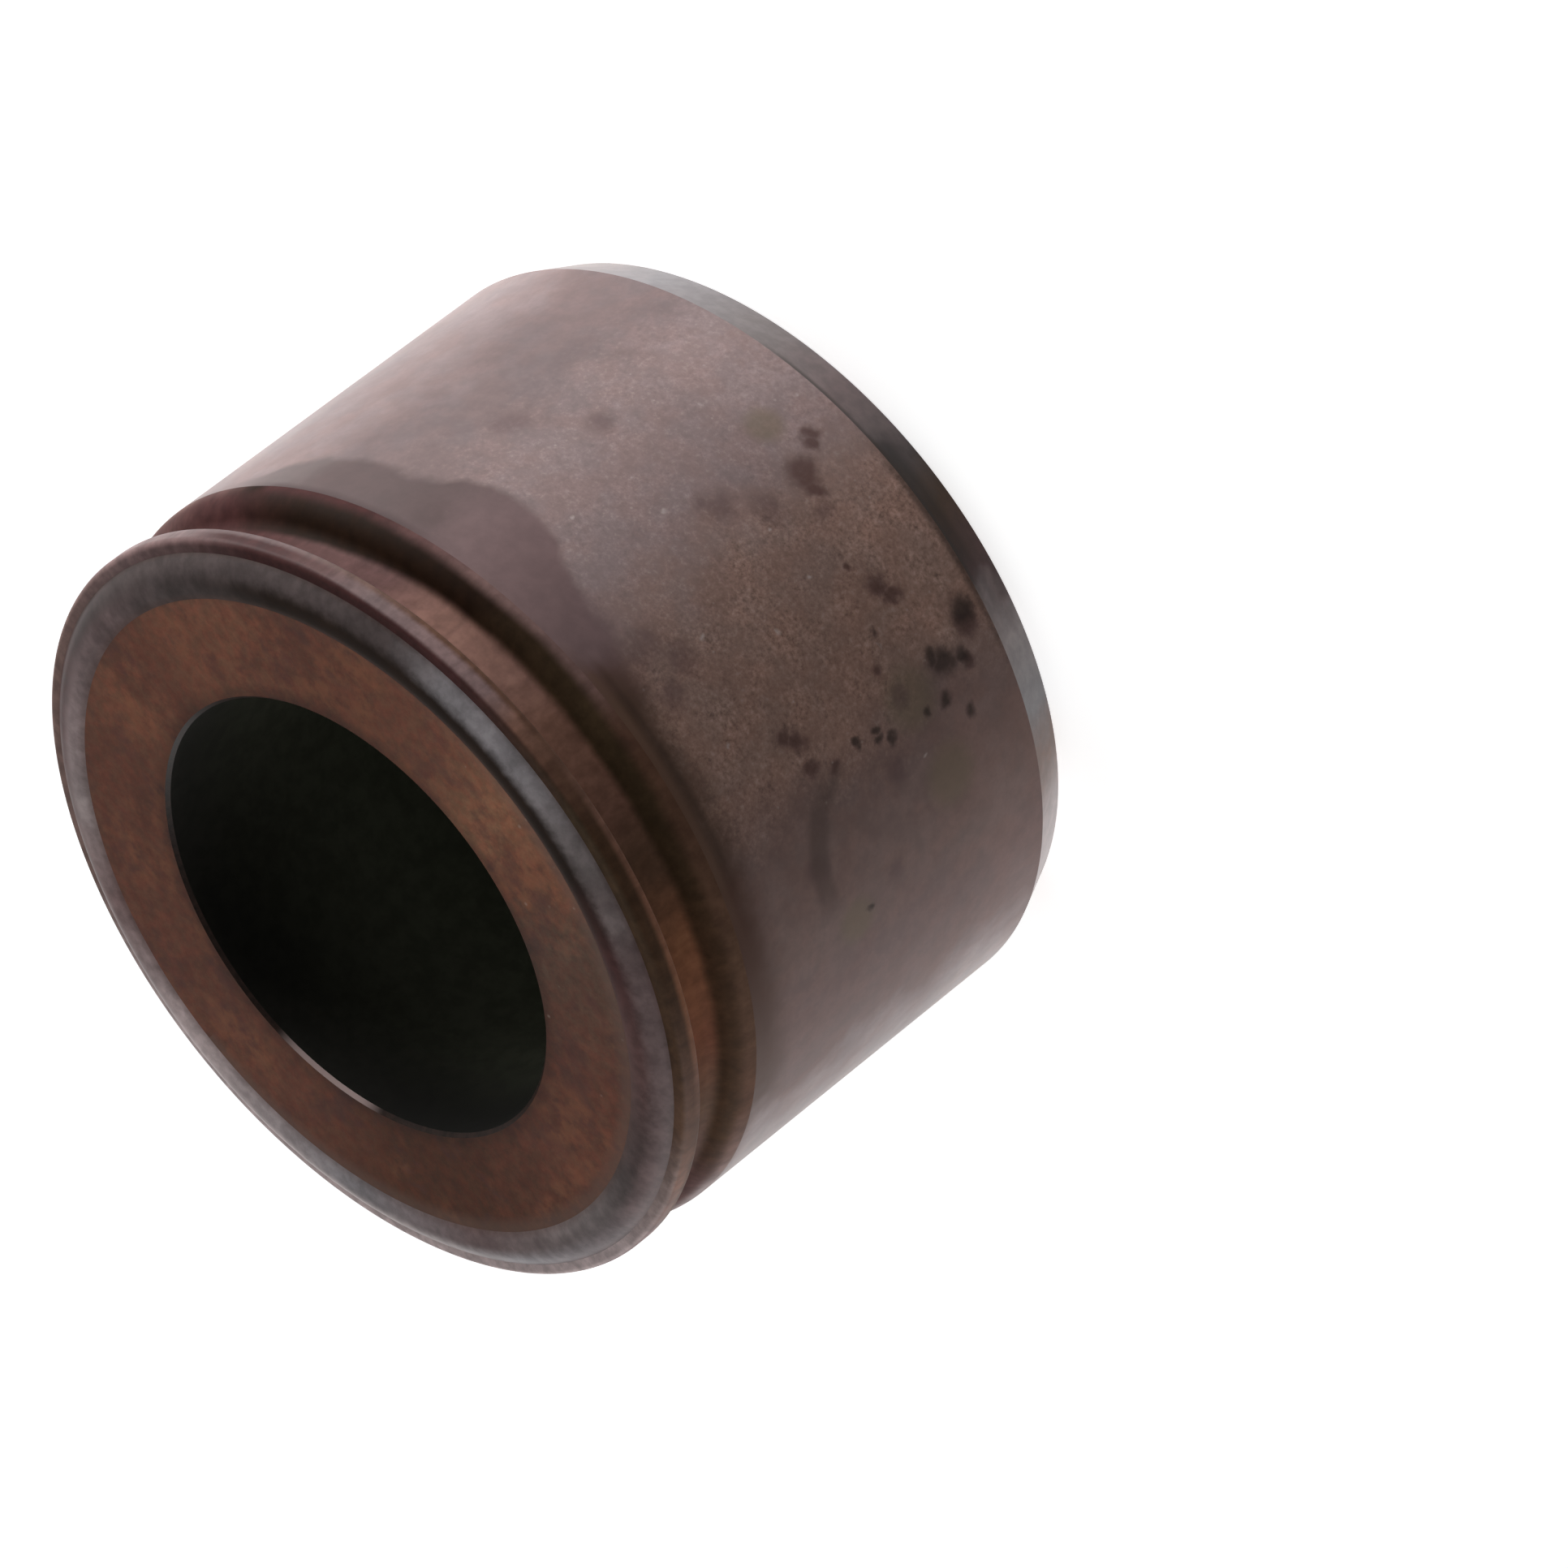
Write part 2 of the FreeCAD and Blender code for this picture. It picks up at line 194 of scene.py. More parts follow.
class Graph:
    """A material's node tree, with short calls for its nodes. A value is a number, a colour or an output."""

    def __init__(self, name):
        self.material = bpy.data.materials.new(name)
        self.material.use_nodes = True
        self.tree = self.material.node_tree
        self.tree.nodes.clear()
        self.output = self.tree.nodes.new("ShaderNodeOutputMaterial")

    def node(self, kind, **settings):
        made = self.tree.nodes.new(kind)
        for key, value in settings.items():
            setattr(made, key, value)
        return made

    def feed(self, socket, value):
        if isinstance(value, bpy.types.NodeSocket):
            self.tree.links.new(value, socket)
        elif isinstance(value, (tuple, list)) and len(socket.default_value) == 4:
            socket.default_value = (*value, 1.0)
        else:
            socket.default_value = value

    def math(self, operation, *values, clamp=False):
        made = self.node("ShaderNodeMath", operation=operation, use_clamp=clamp)
        for socket, value in zip(made.inputs, values):
            self.feed(socket, value)
        return made.outputs[0]

    def vector(self, operation, *values):
        made = self.node("ShaderNodeVectorMath", operation=operation)
        for socket, value in zip(made.inputs, values):
            self.feed(socket, value)
        gives_number = operation in ("DISTANCE", "DOT_PRODUCT", "LENGTH")
        return made.outputs["Value" if gives_number else "Vector"]

    def scaled(self, vector, factor):
        """A vector or a colour times a number."""
        made = self.node("ShaderNodeVectorMath", operation="SCALE")
        self.feed(made.inputs[0], vector)
        self.feed(made.inputs["Scale"], factor)
        return made.outputs["Vector"]

    def combine(self, x, y, z):
        made = self.node("ShaderNodeCombineXYZ")
        for socket, value in zip(made.inputs, (x, y, z)):
            self.feed(socket, value)
        return made.outputs[0]

    def noise(self, vector, scale, detail=2.0, roughness=0.5):
        made = self.node("ShaderNodeTexNoise")
        self.feed(made.inputs["Vector"], vector)
        self.feed(made.inputs["Scale"], scale)
        self.feed(made.inputs["Detail"], detail)
        self.feed(made.inputs["Roughness"], roughness)
        return made.outputs["Fac"]

    def drift(self, vector, scale, reach, detail=3.0):
        """The vector moved about by up to half the reach, by a colour noise."""
        made = self.node("ShaderNodeTexNoise")
        self.feed(made.inputs["Vector"], vector)
        self.feed(made.inputs["Scale"], scale)
        self.feed(made.inputs["Detail"], detail)
        centred = self.vector("SUBTRACT", made.outputs["Color"], (0.5, 0.5, 0.5))
        return self.vector("ADD", vector, self.scaled(centred, reach))

    def cells(self, vector, scale):
        """A Voronoi pattern: how far the nearest cell's middle is, and a colour for each cell."""
        made = self.node("ShaderNodeTexVoronoi")
        self.feed(made.inputs["Vector"], vector)
        self.feed(made.inputs["Scale"], scale)
        return made.outputs["Distance"], made.outputs["Color"]

    def band(self, value, low, high, to_low=0.0, to_high=1.0):
        """A smooth step from to_low at low to to_high at high."""
        made = self.node("ShaderNodeMapRange", interpolation_type="SMOOTHSTEP")
        self.feed(made.inputs["Value"], value)
        self.feed(made.inputs["From Min"], low)
        self.feed(made.inputs["From Max"], high)
        self.feed(made.inputs["To Min"], to_low)
        self.feed(made.inputs["To Max"], to_high)
        return made.outputs["Result"]

    def between(self, value, low, high, soft):
        """One between low and high, and nothing outside, with soft ends."""
        rise = self.band(value, low - soft, low + soft)
        fall = self.band(value, high - soft, high + soft, 1.0, 0.0)
        return self.math("MULTIPLY", rise, fall)

    def curve(self, value, low, high, points):
        """A smooth curve through points of (value, result), with the results from 0 to 1."""
        made = self.node("ShaderNodeFloatCurve")
        track = made.mapping.curves[0]
        span = high - low
        places = [((x - low) / span, y) for x, y in points]
        track.points[0].location = places[0]
        track.points[1].location = places[-1]
        for place in places[1:-1]:
            track.points.new(*place)
        made.mapping.update()
        self.feed(made.inputs["Value"], self.band_linear(value, low, high))
        return made.outputs[0]

    def around(self, angle, colours):
        """A colour that changes round the piece, through pairs of angle in degrees and colour."""
        made = self.node("ShaderNodeValToRGB")
        low, high = colours[0][0], colours[-1][0]
        ramp = made.color_ramp
        for stop, (degrees, colour) in zip((ramp.elements[0], ramp.elements[1]), (colours[0], colours[-1])):
            stop.position = (degrees - low) / (high - low)
            stop.color = (*colour, 1.0)
        for degrees, colour in colours[1:-1]:
            ramp.elements.new((degrees - low) / (high - low)).color = (*colour, 1.0)
        self.feed(made.inputs["Fac"], self.band_linear(angle, low, high))
        return made.outputs["Color"]

    def band_linear(self, value, low, high):
        """An even rise from nothing at low to one at high."""
        made = self.node("ShaderNodeMapRange", clamp=True)
        self.feed(made.inputs["Value"], value)
        self.feed(made.inputs["From Min"], low)
        self.feed(made.inputs["From Max"], high)
        return made.outputs["Result"]

    def mix(self, factor, first, second, blend="MIX"):
        made = self.node("ShaderNodeMix", data_type="RGBA", blend_type=blend)
        self.feed(made.inputs["Factor"], factor)
        self.feed(made.inputs[MIX_FIRST], first)
        self.feed(made.inputs[MIX_SECOND], second)
        return made.outputs[MIX_RESULT]

    def shade(self, colour, roughness, bump, strength, distance, specular):
        """The finished material. The bump's distance is in metres."""
        shader = self.node("ShaderNodeBsdfPrincipled")
        self.feed(shader.inputs["Base Color"], colour)
        self.feed(shader.inputs["Roughness"], roughness)
        shader.inputs["Specular IOR Level"].default_value = specular
        made = self.node("ShaderNodeBump")
        made.inputs["Strength"].default_value = strength
        made.inputs["Distance"].default_value = distance
        self.feed(made.inputs["Height"], bump)
        self.tree.links.new(made.outputs["Normal"], shader.inputs["Normal"])
        self.tree.links.new(shader.outputs[0], self.output.inputs["Surface"])
        return self.material


class Turned(Graph):
    """A material of the turned piece: it knows the place in millimetres, the angle and the depth.
    The angle is 0 degrees at -Y, 90 at +X and -90 at -X. The depth is the height less that of the annulus."""

    def __init__(self, name):
        super().__init__(name)
        coordinates = self.node("ShaderNodeTexCoord")
        self.place = self.scaled(coordinates.outputs["Object"], 1.0 / MM)
        split = self.node("ShaderNodeSeparateXYZ")
        self.feed(split.inputs[0], self.place)
        x, y, z = split.outputs
        self.angle = self.math("DEGREES", self.math("ARCTAN2", x, self.math("MULTIPLY", y, -1.0)))
        self.depth = self.math("SUBTRACT", z, ANNULUS_Z)
        flat = self.combine(x, y, 0.0)
        self.radius = self.vector("LENGTH", flat)
        self.rings = self.combine(0.0, self.radius, z)
        self.squeezed = self.combine(x, y, self.math("MULTIPLY", z, 0.3))

    def on_side(self, degrees, depth, radius=BODY_R):
        """The point at an angle and a depth on the outside."""
        angle = math.radians(degrees)
        return (radius * math.sin(angle), -radius * math.cos(angle), ANNULUS_Z + depth)

    def bent(self, pattern, reach):
        """The angle moved about by a pattern, but not behind, where it jumps from 180 to -180 degrees."""
        quiet = self.band(self.math("ABSOLUTE", self.angle), 150.0, 178.0, reach, 0.0)
        return self.math("MULTIPLY_ADD", self.math("SUBTRACT", pattern, 0.5), quiet, self.angle)

    def specks(self, scale, share, size):
        """Small dots: a share of a Voronoi pattern's cells has one, of up to this size in cells."""
        distance, colour = self.cells(self.place, scale)
        split = self.node("ShaderNodeSeparateColor")
        self.feed(split.inputs[0], colour)
        chosen = self.math("GREATER_THAN", split.outputs[0], 1.0 - share)
        reach = self.math("MULTIPLY", split.outputs[1], size)
        edge = self.math("SUBTRACT", reach, distance)
        dot = self.band(edge, 0.0, size * 0.8)
        return self.math("MULTIPLY", chosen, dot)


# What lies on the steel, and the painted light and shade on it, as linear colours
# Painted shade: black, and dirt darkened with shade
PAINTED_SHADE_BLACK = (0.018, 0.008, 0.004)
GRIME_AND_SHADE = (0.058, 0.036, 0.019)
BROWN_GRIME = (0.080, 0.041, 0.022)
EARTH = (0.128, 0.064, 0.042)
OLIVE_EARTH = (0.142, 0.078, 0.050)
DARK_RUST = (0.090, 0.029, 0.013)
RUST = (0.150, 0.052, 0.030)
WARM_RUST = (0.205, 0.076, 0.042)
ORANGE_RUST = (0.285, 0.122, 0.064)
PINK_RUST = (0.258, 0.140, 0.112)
ROSE_EARTH = (0.225, 0.115, 0.082)
MAUVE = (0.222, 0.146, 0.142)
PLUM = (0.122, 0.064, 0.060)
DEEP_PLUM = (0.064, 0.024, 0.023)
WARM_FILM = (0.335, 0.206, 0.165)
SAND_FILM = (0.285, 0.182, 0.152)
ROSE_FILM = (0.215, 0.138, 0.122)
DULL_FILM = (0.188, 0.114, 0.104)
PALE_FILM = (0.262, 0.189, 0.184)
DIM_FILM = (0.174, 0.121, 0.119)
# Film lightened by a painted sheen
FILM_WITH_SOFT_SHEEN = (0.300, 0.230, 0.228)
FILM_WITH_BRIGHT_SHEEN = (0.370, 0.305, 0.300)
STEEL = (0.225, 0.190, 0.186)
BLUE_STEEL = (0.285, 0.262, 0.272)
DARK_STEEL = (0.086, 0.066, 0.064)
# Bare steel lightened by a painted glint or reflection
PAINTED_GLINT_STEEL = (0.560, 0.455, 0.450)

OLIVE_FILM = (0.190, 0.145, 0.092)
DUST = (0.400, 0.330, 0.290)
BARE_PALE = (0.166, 0.104, 0.104)
BARE_DARK = (0.094, 0.056, 0.054)
BARE_DULL = (0.150, 0.112, 0.108)
BARE_BROWN = (0.125, 0.064, 0.054)
WARM_GREASE = (0.074, 0.038, 0.022)
DARK_GREASE = (0.078, 0.030, 0.016)
BROW_BROWN = (0.150, 0.080, 0.052)
RIM_BROWN = (0.040, 0.018, 0.010)
SHOULDER_SHADE_PLUM = (0.040, 0.014, 0.014)
FOOT_BROWN = (0.060, 0.038, 0.028)
FAINT_DROP = (0.104, 0.058, 0.058)
BROWN_DROP = (0.098, 0.046, 0.040)
DARK_DROP = (0.038, 0.022, 0.018)
SMEAR = (0.098, 0.062, 0.052)
BRIGHT_GRAIN = (0.600, 0.510, 0.470)
TAPER_LINE = (0.040, 0.026, 0.020)
BEAD_FOOT = (0.080, 0.036, 0.025)
FACE_STAIN = (0.080, 0.032, 0.030)
FACE_ORANGE = (0.290, 0.112, 0.052)
FACE_RIM = (0.150, 0.098, 0.078)
FACE_DOT = (0.420, 0.330, 0.270)
MOUTH_BLACK = (0.012, 0.006, 0.004)
MOUTH_BROWN = (0.028, 0.014, 0.010)
MOUTH_RUST = (0.095, 0.042, 0.026)
MOUTH_LIT = (0.400, 0.300, 0.285)
BORE_DEEP = (0.115, 0.120, 0.085)
BORE_NEAR = (0.018, 0.017, 0.014)
# Pairs of tints that a colour is multiplied by
FILM_TINTS = ((1.02, 0.98, 0.96), (0.99, 1.01, 1.02))
FACE_TINTS = ((0.94, 1.06, 1.06), (1.05, 0.96, 0.96))

# Marks on the body: angle in degrees, depth and radius in millimetres. First the dark dried drops
DARK_DROPS = [
    (-17.6, -33.2, 1.05), (-22.0, -30.1, 1.0), (-23.0, -31.4, 0.7), (-20.6, -29.3, 0.6),
    (-26.5, -29.0, 0.5), (-30.0, -30.6, 0.5), (-26.5, -27.3, 0.35), (-26.0, -24.1, 0.4),
    (-25.0, -23.0, 0.35), (-23.4, -23.0, 0.35), (-23.5, -21.3, 0.35), (-45.5, -18.5, 0.3),
    (-13.0, -26.4, 0.25),
]
# Brown drops
BROWN_DROPS = [
    (-19.6, -33.0, 1.0), (-8.3, -28.6, 0.85), (-10.2, -29.1, 0.7), (9.6, -29.5, 1.25), (7.2, -29.3, 0.8),
    (-17.0, -16.6, 0.8), (-18.3, -17.4, 0.8), (-22.5, -17.5, 0.7), (-24.0, -19.0, 0.6), (-17.2, -25.2, 0.5),
    (-24.0, -31.8, 0.6), (-4.0, -27.5, 0.4), (13.2, -32.0, 0.7), (12.0, -31.4, 0.6),
]
# Faint stains
FAINT_STAINS = [
    (12.6, -23.2, 1.3), (8.6, -25.8, 1.2), (14.6, -22.3, 0.8), (42.0, -19.0, 1.2), (-22.0, -26.0, 0.8),
    (-43.0, -21.2, 0.8), (3.6, -28.8, 0.8), (-35.0, -15.0, 1.1), (33.0, -22.6, 1.0), (4.0, -12.0, 1.6),
    (0.0, -13.6, 1.3), (-3.0, -11.4, 1.2), (-30.0, -23.5, 1.0),
]
# Places where the film is olive
OLIVE_STAINS = [(-36.0, -27.5, 2.2), (-46.0, -17.3, 1.6), (-23.0, -26.5, 2.2), (18.0, -30.0, 1.4)]
# Bright grains that stand out
BRIGHT_GRAINS = [
    (-5.3, -20.4, 0.22), (6.0, -24.8, 0.2), (17.0, -20.0, 0.2), (0.5, -15.8, 0.28), (-31.5, -26.0, 0.2),
    (9.0, -32.0, 0.24), (-8.0, -15.8, 0.2), (-13.0, -12.8, 0.18), (-14.5, -26.3, 0.2), (24.0, -15.3, 0.18),
    (26.0, -28.0, 0.2), (32.0, -30.0, 0.22), (18.5, -33.5, 0.24), (-2.0, -24.8, 0.18),
]
# A curved smear: its arc's middle and radius on the unrolled body, half its width, and its ends in degrees
SMEAR_MIDDLE = (-17.65, -22.2)
SMEAR_RADIUS = 7.0
SMEAR_HALF_WIDTH = 0.95
SMEAR_ENDS = (-41.0, -25.0)
# Zones of the body: first and last angle in degrees
WARM_ZONE = (-26.0, 4.0)
DUSTY_ZONE = (-14.0, 42.0)
GREASY_ZONE = (-69.0, 6.0)
BROW_ZONE = (-30.0, 4.0)
RIM_ZONE = (-28.0, 6.0)
SHOULDER_SHADE_ZONE = (36.0, 68.0)
FOOT_ZONE = (-24.0, 4.0)
# The film round the body, by angle in degrees; towards both sides it carries a painted sheen
FILM = [
    (-84.0, FILM_WITH_BRIGHT_SHEEN), (-74.0, FILM_WITH_SOFT_SHEEN), (-66.0, DULL_FILM), (-54.0, DULL_FILM), (-44.0, ROSE_FILM),
    (-28.0, ROSE_FILM), (-18.0, WARM_FILM), (-7.0, WARM_FILM), (3.0, SAND_FILM), (15.0, PALE_FILM),
    (34.0, PALE_FILM), (45.0, DIM_FILM), (56.0, DIM_FILM), (66.0, PALE_FILM), (76.0, FILM_WITH_SOFT_SHEEN),
    (88.0, FILM_WITH_BRIGHT_SHEEN),
]
# The edge of the wiped patch beside the groove: angle in degrees, and reach as a share of PATCH_REACH
PATCH_SPAN = (-20.0, 90.0)
PATCH_START = 7.4
PATCH_REACH = 7.0
PATCH_EDGE = [
    (-20.0, 0.0), (-6.0, 0.15), (2.0, 0.48), (10.0, 0.57), (19.0, 0.68), (24.0, 0.87), (31.0, 0.93),
    (38.0, 0.82), (45.0, 0.60), (56.0, 0.58), (64.0, 0.44), (71.0, 0.15), (90.0, 0.0),
]


def marks(g, spots, place):
    """How far a place is from the nearest spot, in radii of that spot."""
    nearest = None
    for degrees, depth, radius in spots:
        away = g.math("DIVIDE", g.vector("DISTANCE", place, g.on_side(degrees, depth)), radius)
        nearest = away if nearest is None else g.math("MINIMUM", nearest, away)
    return nearest


def body_finish():
    g = Turned("piston_body")
    fine = g.noise(g.place, scale=2.6, detail=3.0, roughness=0.7)
    clumps = g.noise(g.place, scale=0.5, detail=4.0, roughness=0.6)
    mottle = g.noise(g.place, scale=0.9, detail=4.0, roughness=0.6)
    broad = g.noise(g.place, scale=0.16, detail=3.0, roughness=0.55)
    bent = g.bent(broad, reach=22.0)

    colour = g.around(bent, FILM)
    warm = g.between(bent, *WARM_ZONE, soft=6.0)
    dusty = g.between(bent, *DUSTY_ZONE, soft=10.0)
    blotch = g.band(g.noise(g.place, scale=0.3, detail=4.0, roughness=0.6), 0.38, 0.62)
    colour = g.mix(1.0, colour, g.mix(blotch, *FILM_TINTS), "MULTIPLY")
    contrast = g.math("MULTIPLY_ADD", warm, 1.30, 0.25)
    contrast = g.math("MULTIPLY_ADD", dusty, 0.55, contrast)
    contrast = g.math("MULTIPLY", contrast, g.band(clumps, 0.35, 0.65, 0.5, 1.2))
    change = g.math("MULTIPLY_ADD", g.math("SUBTRACT", fine, 0.5), contrast, 1.0)
    both = g.math("MULTIPLY_ADD", clumps, 0.5, g.math("MULTIPLY", mottle, 0.5))
    cloud = g.band(both, 0.36, 0.64, 0.91, 1.09)
    far = g.band(g.depth, -30.5, -27.5, 1.14, 1.0)
    light = g.math("MULTIPLY", g.math("MULTIPLY", change, cloud), far)
    colour = g.scaled(colour, light)
    dust = g.math("MULTIPLY", g.band(fine, 0.54, 0.74), g.math("MAXIMUM", warm, dusty))
    colour = g.mix(g.math("MULTIPLY", dust, 0.30), colour, DUST)
    olive = g.band(marks(g, OLIVE_STAINS, g.place), 0.5, 1.3, 0.55, 0.0)
    colour = g.mix(olive, colour, OLIVE_FILM)

    split = g.node("ShaderNodeSeparateXYZ")
    g.feed(split.inputs[0], g.drift(g.place, scale=0.5, reach=1.3))
    depth = g.math("SUBTRACT", split.outputs[2], ANNULUS_Z)
    reach = g.curve(g.angle, *PATCH_SPAN, PATCH_EDGE)
    edge = g.math("MULTIPLY_ADD", reach, -PATCH_REACH, -PATCH_START)
    before = g.math("SUBTRACT", depth, edge)
    soft = g.band(g.angle, 0.0, 24.0, 1.0, 0.36)
    wiped = g.band(g.math("DIVIDE", before, soft), -1.3, 1.7)
    wiped = g.math("MULTIPLY", wiped, g.band(g.angle, 64.0, 74.0, 1.0, 0.35))
    bare = g.mix(g.band(bent, 26.0, 44.0), BARE_PALE, BARE_DARK)
    bare = g.mix(g.band(bent, 52.0, 66.0), bare, BARE_DULL)
    bare = g.mix(g.band(bent, -4.0, 10.0, 1.0, 0.0), bare, BARE_BROWN)
    bare = g.scaled(bare, g.band(mottle, 0.3, 0.7, 0.92, 1.08))
    colour = g.mix(wiped, colour, bare)

    greasy = g.band(depth, -11.3, -8.0, 0.0, 0.88)
    greasy = g.math("MULTIPLY", greasy, g.between(bent, *GREASY_ZONE, soft=6.0))
    colour = g.mix(greasy, colour, g.mix(warm, DARK_GREASE, WARM_GREASE))
    brow = g.math("MULTIPLY", g.band(g.depth, -8.2, -7.7), g.between(bent, *BROW_ZONE, soft=10.0))
    colour = g.mix(g.math("MULTIPLY", brow, 0.8), colour, BROW_BROWN)
    rim = g.math("MULTIPLY", g.between(g.depth, -8.7, -8.3, soft=0.25), g.between(bent, *RIM_ZONE, soft=9.0))
    colour = g.mix(g.math("MULTIPLY", rim, 0.40), colour, RIM_BROWN)
    # Painted shade, with some dirt, along the body's edge below the shoulder from 36 to 68 degrees
    shoulder_shade = g.math("MULTIPLY", g.band(g.depth, -8.1, -7.4), g.between(bent, *SHOULDER_SHADE_ZONE, soft=6.0))
    colour = g.mix(g.math("MULTIPLY", shoulder_shade, 0.7), colour, SHOULDER_SHADE_PLUM)
    foot = g.math("MULTIPLY", g.between(bent, *FOOT_ZONE, soft=8.0), g.band(g.depth, -34.7, -34.1, 1.0, 0.0))
    colour = g.mix(g.math("MULTIPLY", foot, 0.7), colour, FOOT_BROWN)

    ragged = g.drift(g.place, scale=0.8, reach=1.4, detail=5.0)
    faint = g.band(marks(g, FAINT_STAINS, ragged), 0.3, 1.45, 0.46, 0.0)
    colour = g.mix(faint, colour, FAINT_DROP)
    brown = g.band(marks(g, BROWN_DROPS, ragged), 0.35, 1.5, 0.80, 0.0)
    colour = g.mix(brown, colour, BROWN_DROP)
    along = g.math("MULTIPLY", g.angle, math.radians(BODY_R))
    arc_place = g.combine(along, g.depth, 0.0)
    arc_away = g.vector("DISTANCE", arc_place, (*SMEAR_MIDDLE, 0.0))
    off_arc = g.math("ABSOLUTE", g.math("SUBTRACT", arc_away, SMEAR_RADIUS))
    smear = g.band(off_arc, SMEAR_HALF_WIDTH * 0.4, SMEAR_HALF_WIDTH * 1.3, 0.62, 0.0)
    smear = g.math("MULTIPLY", smear, g.between(g.angle, *SMEAR_ENDS, soft=3.0))
    smear = g.math("MULTIPLY", smear, g.band(g.depth, -20.8, -18.6))
    colour = g.mix(smear, colour, SMEAR)
    dark = g.band(marks(g, DARK_DROPS, ragged), 0.35, 1.55, 0.84, 0.0)
    colour = g.mix(dark, colour, DARK_DROP)

    bright = g.band(marks(g, BRIGHT_GRAINS, ragged), 0.1, 1.3, 0.5, 0.0)
    dots = g.math("MULTIPLY", g.specks(scale=1.3, share=0.3, size=0.2), g.math("MAXIMUM", warm, dusty))
    dots = g.math("MULTIPLY", dots, g.band(wiped, 0.2, 0.8, 0.30, 0.05))
    colour = g.mix(g.math("MAXIMUM", dots, bright), colour, BRIGHT_GRAIN)

    film = g.math("MULTIPLY", g.math("MAXIMUM", warm, dusty), g.band(wiped, 0.0, 1.0, 1.0, 0.0))
    rough = g.math("MULTIPLY_ADD", film, 0.20, 0.38)
    rough = g.math("MULTIPLY_ADD", mottle, 0.12, rough)
    height = g.math("ADD", g.math("MULTIPLY", fine, film), g.math("MULTIPLY", mottle, 0.5))
    return g.shade(colour, rough, height, strength=0.25, distance=0.00005, specular=0.3)


# The taper's steel, the stain on it and painted glints, by angle in degrees
TAPER = [
    (-140.0, BLUE_STEEL), (-84.0, STEEL), (-76.0, ROSE_EARTH), (-66.0, PAINTED_GLINT_STEEL), (-56.0, PAINTED_GLINT_STEEL),
    (-45.0, ROSE_EARTH), (-36.0, BLUE_STEEL), (-26.0, FILM_WITH_BRIGHT_SHEEN), (-16.0, PLUM), (-5.0, BROWN_GRIME),
    (4.0, DARK_STEEL), (15.0, DIM_FILM), (30.0, STEEL), (50.0, BLUE_STEEL), (64.0, FILM_WITH_BRIGHT_SHEEN),
    (78.0, FILM_WITH_BRIGHT_SHEEN), (88.0, BLUE_STEEL),
]
# Where the taper is stained, and where a dark line runs along the body's edge
STAINED_ZONE = (-19.0, 8.0)
LINE_ZONE = (-16.0, 26.0)


def taper_finish():
    g = Turned("piston_taper")
    mottle = g.noise(g.place, scale=1.0, detail=4.0, roughness=0.6)
    broad = g.noise(g.place, scale=0.3, detail=3.0, roughness=0.55)
    lines = g.noise(g.rings, scale=5.0, detail=2.0, roughness=0.5)
    bent = g.bent(broad, reach=12.0)
    colour = g.scaled(g.around(bent, TAPER), g.band(mottle, 0.3, 0.7, 0.86, 1.14))
    stain = g.between(bent, *STAINED_ZONE, soft=4.0)
    wave = g.math("MULTIPLY_ADD", g.math("SUBTRACT", mottle, 0.5), 1.2, g.depth)
    inner = g.band(wave, -36.8, -35.6)
    colour = g.scaled(colour, g.math("MULTIPLY_ADD", g.math("MULTIPLY", stain, inner), -0.42, 1.0))
    edge = g.math("MULTIPLY", g.band(g.depth, -35.3, -34.9), g.between(g.angle, *LINE_ZONE, soft=6.0))
    colour = g.mix(g.math("MULTIPLY", edge, 0.75), colour, TAPER_LINE)
    rough = g.math("MULTIPLY_ADD", mottle, 0.15, 0.30)
    rough = g.math("MULTIPLY_ADD", stain, 0.3, rough)
    height = g.math("ADD", g.math("MULTIPLY", lines, 0.5), mottle)
    return g.shade(colour, rough, height, strength=0.2, distance=0.00004, specular=0.35)


# The groove's floor, hollow and shoulder, by angle in degrees. The hollow and the shoulder's dark band are
# painted shade under the lip, with some dirt, and the shoulder's light ends a painted sheen
GROOVE_FLOOR = [
    (-84.0, PLUM), (-62.0, OLIVE_EARTH), (-50.0, WARM_RUST), (-34.0, ORANGE_RUST), (-20.0, OLIVE_EARTH),
    (-10.0, ROSE_EARTH), (2.0, ROSE_EARTH), (12.0, PINK_RUST), (24.0, PINK_RUST), (38.0, PLUM),
    (48.0, PLUM), (62.0, DEEP_PLUM), (74.0, PLUM), (88.0, MAUVE), (130.0, PLUM),
]
GROOVE_HOLLOW = [
    (-84.0, PLUM), (-70.0, BROWN_GRIME), (-36.0, BROWN_GRIME), (-14.0, GRIME_AND_SHADE), (4.0, GRIME_AND_SHADE), (22.0, PAINTED_SHADE_BLACK),
    (56.0, PAINTED_SHADE_BLACK), (72.0, DEEP_PLUM), (88.0, PLUM),
]
GROOVE_SHOULDER = [
    (-120.0, ROSE_FILM), (-88.0, FILM_WITH_BRIGHT_SHEEN), (-76.0, ROSE_FILM), (-64.0, EARTH), (-40.0, OLIVE_EARTH),
    (-6.0, EARTH), (10.0, DULL_FILM), (22.0, DULL_FILM), (34.0, PLUM), (46.0, DEEP_PLUM), (62.0, DEEP_PLUM),
    (66.0, PAINTED_SHADE_BLACK), (76.0, PLUM), (88.0, ROSE_FILM),
]
# Where the hollow's painted shade starts nearer the lip, and where it reaches further up the shoulder
EARLY_ZONE = (40.0, 130.0)
LATE_ZONE = (-4.0, 130.0)


